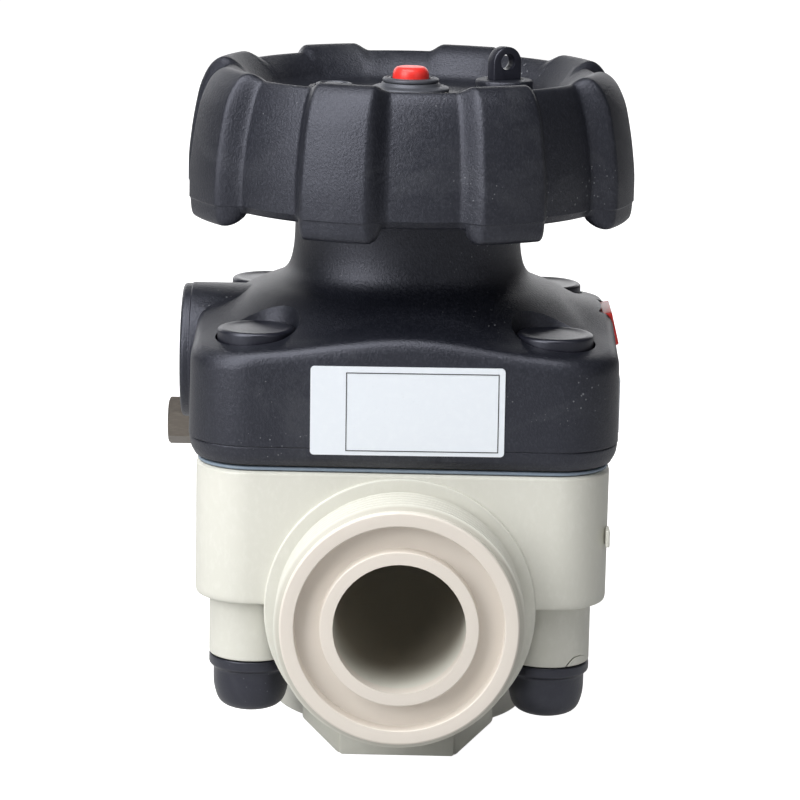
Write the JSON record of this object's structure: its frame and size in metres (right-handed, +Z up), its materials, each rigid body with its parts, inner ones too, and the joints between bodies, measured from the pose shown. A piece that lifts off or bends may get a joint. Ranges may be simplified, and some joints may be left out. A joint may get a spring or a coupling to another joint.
{
  "type": "diaphragm valve",
  "caption": "Plastic diaphragm valve with male union spigots, a black bonnet and a lobed handwheel that raises and lowers a compressor over a weir.",
  "frame": {"origin": "middle of the foot's lower face, straight below the spindle axis", "axes": "+Z up along the spindle, +Y along the pipe from the front spigot to the rear one, +X to the right seen from the front spigot"},
  "size_m": [0.1171, 0.134, 0.171],
  "materials": {
    "grey_plastic": "light warm grey moulding",
    "black_plastic": "fine-grained fibre-filled moulding",
    "black_cap": "smooth black moulding",
    "dark_plastic": "smooth dark grey",
    "red_plastic": "bright red",
    "white_fluoropolymer": "smooth blue-grey film edge",
    "black_rubber": "moulded",
    "stainless_steel": "turned",
    "brass": "dull, nickel tinted"
  },
  "bodies": {
    "valve": {"bolt_front_left": "stainless_steel", "bolt_front_right": "stainless_steel", "bolt_rear_left": "stainless_steel", "bolt_rear_right": "stainless_steel", "bolt_washer_front_left": "stainless_steel", "bolt_washer_front_right": "stainless_steel", "bolt_washer_rear_left": "stainless_steel", "bolt_washer_rear_right": "stainless_steel", "bonnet": "black_plastic", "bottom_cap_front_left": "black_cap", "bottom_cap_front_right": "black_cap", "bottom_cap_rear_left": "black_cap", "bottom_cap_rear_right": "black_cap", "diaphragm_backing": "black_rubber", "diaphragm_shield": "white_fluoropolymer", "foot_insert_front": "brass", "foot_insert_rear": "brass", "neck_ring": "black_plastic", "neck_seal": "black_rubber", "nut_front_left": "stainless_steel", "nut_front_right": "stainless_steel", "nut_rear_left": "stainless_steel", "nut_rear_right": "stainless_steel", "nut_washer_front_left": "stainless_steel", "nut_washer_front_right": "stainless_steel", "nut_washer_rear_left": "stainless_steel", "nut_washer_rear_right": "stainless_steel", "side_marker": "red_plastic", "side_plug": "brass", "thrust_washer_lower": "white_fluoropolymer", "thrust_washer_upper": "white_fluoropolymer", "top_cap_front_left": "black_cap", "top_cap_front_right": "black_cap", "top_cap_rear_left": "black_cap", "top_cap_rear_right": "black_cap", "valve_body": "grey_plastic"},
    "wheel": {"handwheel": "black_plastic", "spindle_nut": "brass", "hub_washer": "dark_plastic", "hub_clip": "dark_plastic", "wheel_plug": "dark_plastic"},
    "spindle": {"spindle": "stainless_steel", "compressor": "black_plastic", "compressor_pin": "stainless_steel", "diaphragm_stud": "stainless_steel", "indicator_cap": "red_plastic"},
    "slider": {"lock_slider": "black_cap"}
  },
  "joints": [
    {"name": "wheel_turn", "type": "hinge", "parent": "valve", "child": "wheel", "pos_m": [0, 0, 0.142], "axis": [0, 0, 1], "range_deg": [-540, 960]},
    {"name": "spindle_rise", "type": "slide", "parent": "valve", "child": "spindle", "axis": [0, 0, 1], "range_m": [-0.0045, 0.008], "deforming": ["diaphragm_shield", "diaphragm_backing"]},
    {"name": "lock_slide", "type": "slide", "parent": "wheel", "child": "slider", "axis": [0, 0, 1], "range_m": [-0.006, 0]}
  ],
  "couplings": [
    {"joint": "spindle_rise", "follows": "wheel_turn", "m_per_rad": 0.000477}
  ]
}
